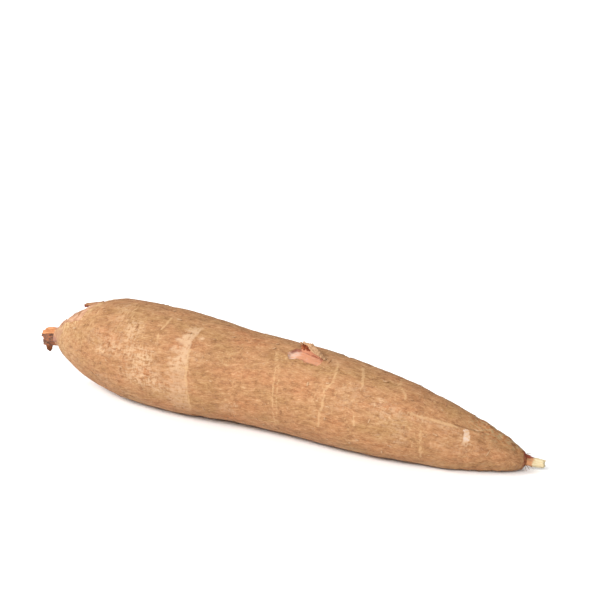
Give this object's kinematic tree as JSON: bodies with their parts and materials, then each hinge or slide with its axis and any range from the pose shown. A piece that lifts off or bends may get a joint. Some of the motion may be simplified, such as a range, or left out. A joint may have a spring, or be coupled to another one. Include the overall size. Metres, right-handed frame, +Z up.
{
  "type": "cassava root",
  "caption": "Whole unpeeled cassava root with tan bark, a broken woody stub, a peeled pink patch with a curled bark flap, and a snapped tip.",
  "frame": {"origin": "on the table, under the middle of the root's box", "axes": "+X from the woody stub to the snapped tip, +Y towards the root's far side, +Z up"},
  "size_m": [0.3404, 0.0687, 0.0633],
  "materials": {
    "bark": "matte"
  },
  "bodies": {
    "root": {"cassava_root": "bark"}
  },
  "joints": []
}
